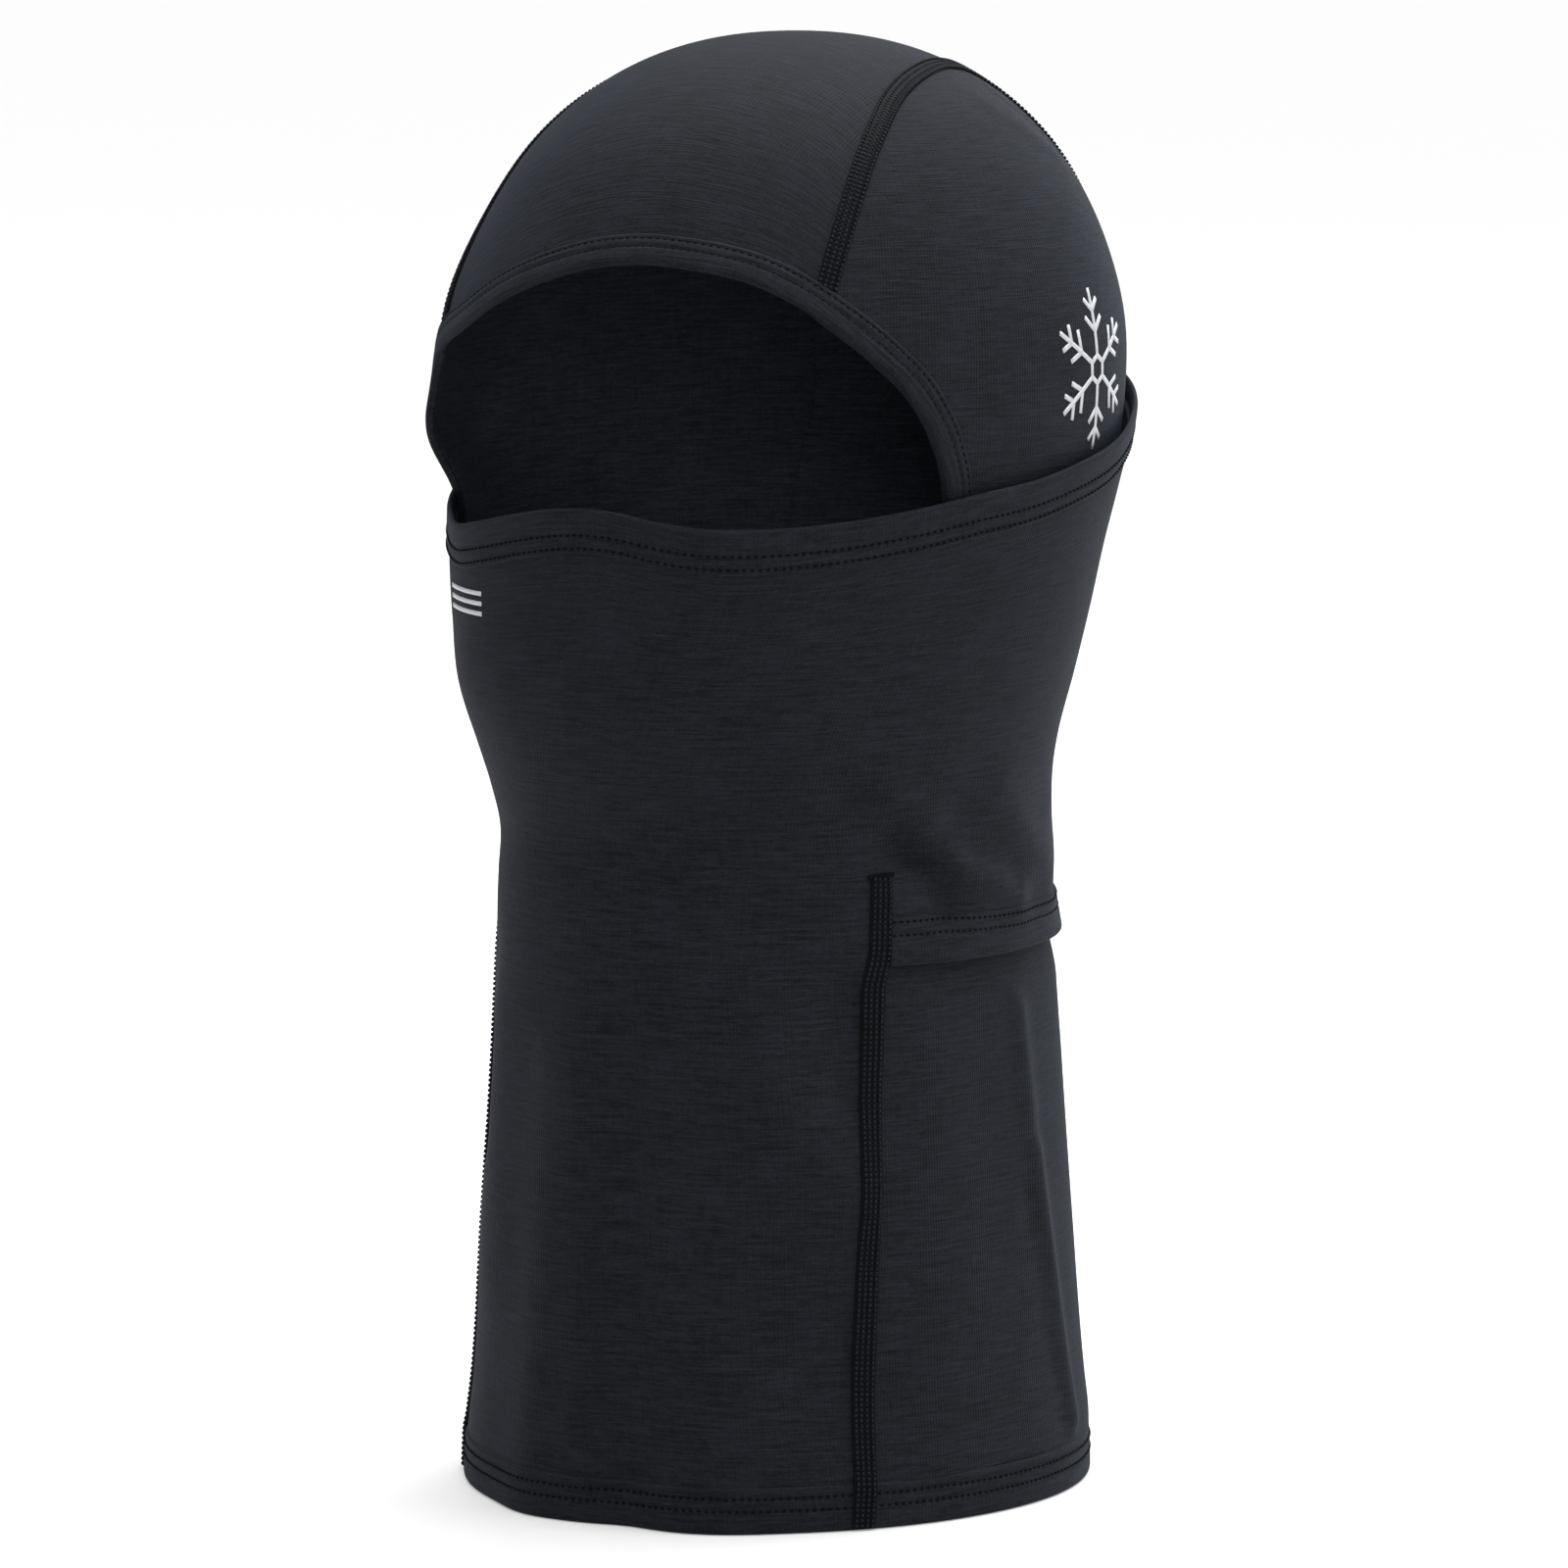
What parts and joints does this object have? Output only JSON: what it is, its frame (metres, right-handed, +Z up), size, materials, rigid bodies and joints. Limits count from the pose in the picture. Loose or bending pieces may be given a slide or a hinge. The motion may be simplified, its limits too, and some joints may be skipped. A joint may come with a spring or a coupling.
{
  "type": "balaclava",
  "caption": "Knit hood, wrap-around face mask and neck tube for skiing. The mask pulls down below the chin and the hood pushes back off the brow.",
  "frame": {"origin": "centre of the bottom hem's lower edge, on the surface it stands on", "axes": "+Z up towards the crown, the face opening looks towards -Y, the wearer's left is +X"},
  "size_m": [0.1698, 0.1977, 0.367],
  "materials": {
    "knit": "dark blue-grey fine jersey with slubs",
    "hem": "the same jersey, folded double",
    "thread": "black flatlock and coverstitch thread",
    "print": "silver heat transfer"
  },
  "bodies": {
    "root": {"bartack_left": "thread", "bartack_right": "thread", "bottom_hem": "hem", "bottom_hem_coverstitch": "thread", "face_hem_leg_left": "hem", "face_hem_leg_right": "hem", "flap_hem": "hem", "flap_hem_coverstitch": "thread", "front_bib": "knit", "neck_back_strip": "knit", "neck_seam_left": "thread", "neck_seam_right": "thread", "neck_side_left": "knit", "neck_side_right": "knit", "side_seam_left": "thread", "side_seam_right": "thread", "wrap_back_seam": "thread", "wrap_coverstitch": "thread", "wrap_hem": "hem", "wrap_panel_left": "knit", "wrap_panel_right": "knit"},
    "mask": {"mask_front_panel": "knit", "mask_front_hem": "hem", "mask_front_coverstitch": "thread", "cheek_badge": "print"},
    "hood": {"crown_seam_left": "thread", "crown_seam_right": "thread", "crown_strip": "knit", "face_hem": "hem", "face_hem_coverstitch": "thread", "hood_side_left": "knit", "hood_side_right": "knit", "reflective_mark_left": "print", "reflective_mark_right": "print"}
  },
  "joints": [
    {"name": "mask_pull_down", "type": "hinge", "parent": "root", "child": "mask", "pos_m": [0, 0.098, 0.21], "axis": [1, 0, 0], "range_deg": [0, 21], "deforming": ["mask_front_panel", "cheek_badge"]},
    {"name": "hood_push_back", "type": "hinge", "parent": "root", "child": "hood", "pos_m": [0, 0, 0.272], "axis": [-1, 0, 0], "range_deg": [0, 30]}
  ]
}
